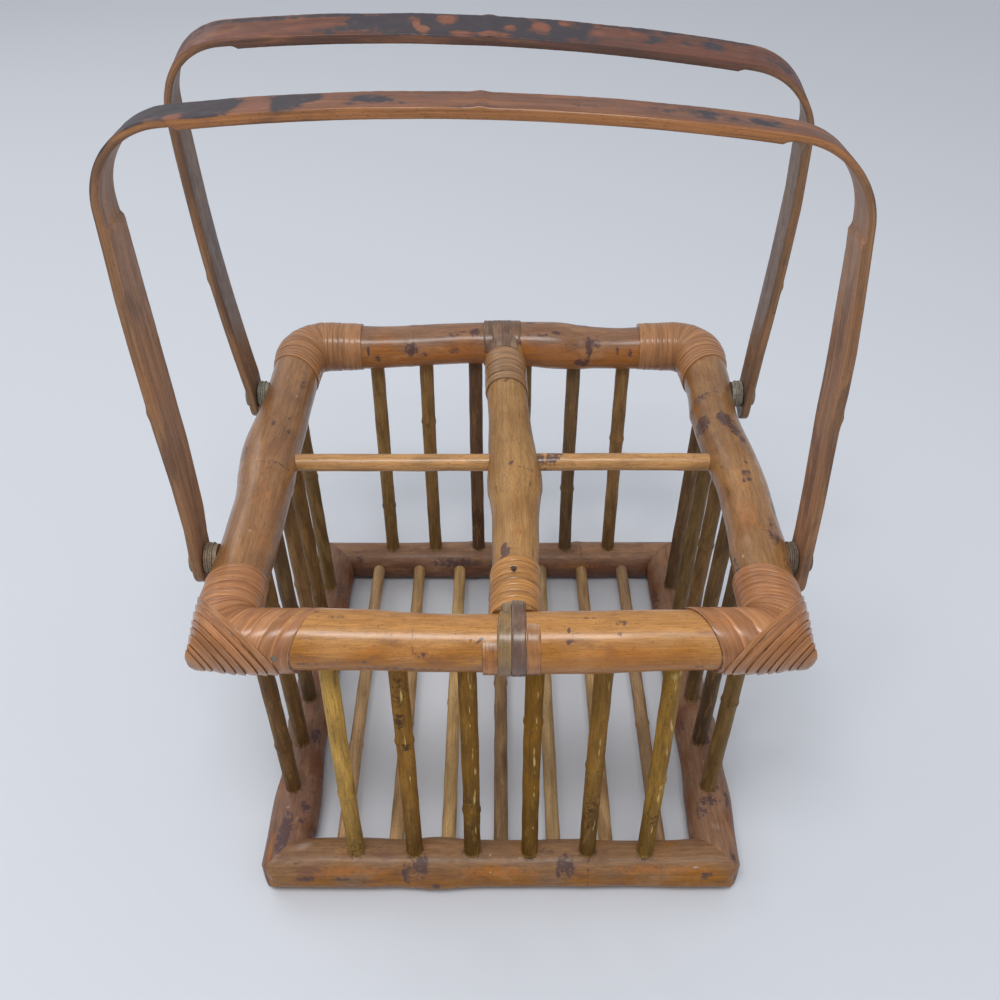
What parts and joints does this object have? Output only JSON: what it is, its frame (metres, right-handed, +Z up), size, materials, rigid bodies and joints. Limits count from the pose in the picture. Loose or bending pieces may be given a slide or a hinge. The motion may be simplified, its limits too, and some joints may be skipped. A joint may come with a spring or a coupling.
{
  "type": "wine bottle basket",
  "caption": "Open cane basket with slatted floor, rod sides, a cross that parts it into bottle compartments, cane-bound corners and hinged carrying handles.",
  "frame": {"origin": "on the surface the basket stands on, under the middle of its overall box", "axes": "+Z up, +X to the right and +Y to the rear as seen from the front end, whose top corners are pointed"},
  "size_m": [0.3084, 0.2882, 0.4172],
  "materials": {
    "top_pole": "glossy varnish over burn-marked cane pole",
    "center_pole": "satin varnish",
    "bottom_pole": "satin, a little dusty",
    "rod": "satin varnish",
    "slat": "matt, bare",
    "cane": "glossy split cane",
    "strap": "satin split cane",
    "handle": "satin varnish over smoked bamboo strip",
    "metal": "dull, weathered"
  },
  "bodies": {
    "basket": {"top_front_rail": "top_pole", "top_rear_rail": "top_pole", "top_left_rail": "top_pole", "top_right_rail": "top_pole", "center_rail": "center_pole", "left_cross_rod": "rod", "right_cross_rod": "rod", "front_left_corner_binding": "cane", "front_right_corner_binding": "cane", "rear_left_corner_binding": "cane", "rear_right_corner_binding": "cane", "front_center_lashing": "cane", "rear_center_lashing": "cane", "front_saddle_strap": "strap", "rear_saddle_strap": "strap", "bottom_front_rail": "bottom_pole", "bottom_rear_rail": "bottom_pole", "bottom_left_rail": "bottom_pole", "bottom_right_rail": "bottom_pole", "front_spindle_1": "rod", "front_spindle_2": "rod", "front_spindle_3": "rod", "front_spindle_4": "rod", "front_spindle_5": "rod", "front_spindle_6": "rod", "rear_spindle_1": "rod", "rear_spindle_2": "rod", "rear_spindle_3": "rod", "rear_spindle_4": "rod", "rear_spindle_5": "rod", "rear_spindle_6": "rod", "left_spindle_1": "rod", "left_spindle_2": "rod", "left_spindle_3": "rod", "left_spindle_4": "rod", "left_spindle_5": "rod", "left_spindle_6": "rod", "right_spindle_1": "rod", "right_spindle_2": "rod", "right_spindle_3": "rod", "right_spindle_4": "rod", "right_spindle_5": "rod", "right_spindle_6": "rod", "floor_slat_1": "slat", "floor_slat_2": "slat", "floor_slat_3": "slat", "floor_slat_4": "slat", "floor_slat_5": "slat", "floor_slat_6": "slat", "floor_slat_7": "slat", "front_left_pivot_bolt": "metal", "front_right_pivot_bolt": "metal", "rear_left_pivot_bolt": "metal", "rear_right_pivot_bolt": "metal", "front_left_washers": "metal", "front_right_washers": "metal", "rear_left_washers": "metal", "rear_right_washers": "metal"},
    "front_handle": {"front_handle": "handle"},
    "rear_handle": {"rear_handle": "handle"}
  },
  "joints": [
    {"name": "front_handle_hinge", "type": "hinge", "parent": "basket", "child": "front_handle", "pos_m": [0.0015, -0.073, 0.1963], "axis": [1, 0, 0], "range_deg": [-13.5, 147.5]},
    {"name": "rear_handle_hinge", "type": "hinge", "parent": "basket", "child": "rear_handle", "pos_m": [0.0015, 0.073, 0.1963], "axis": [1, 0, 0], "range_deg": [-155, 6]}
  ]
}
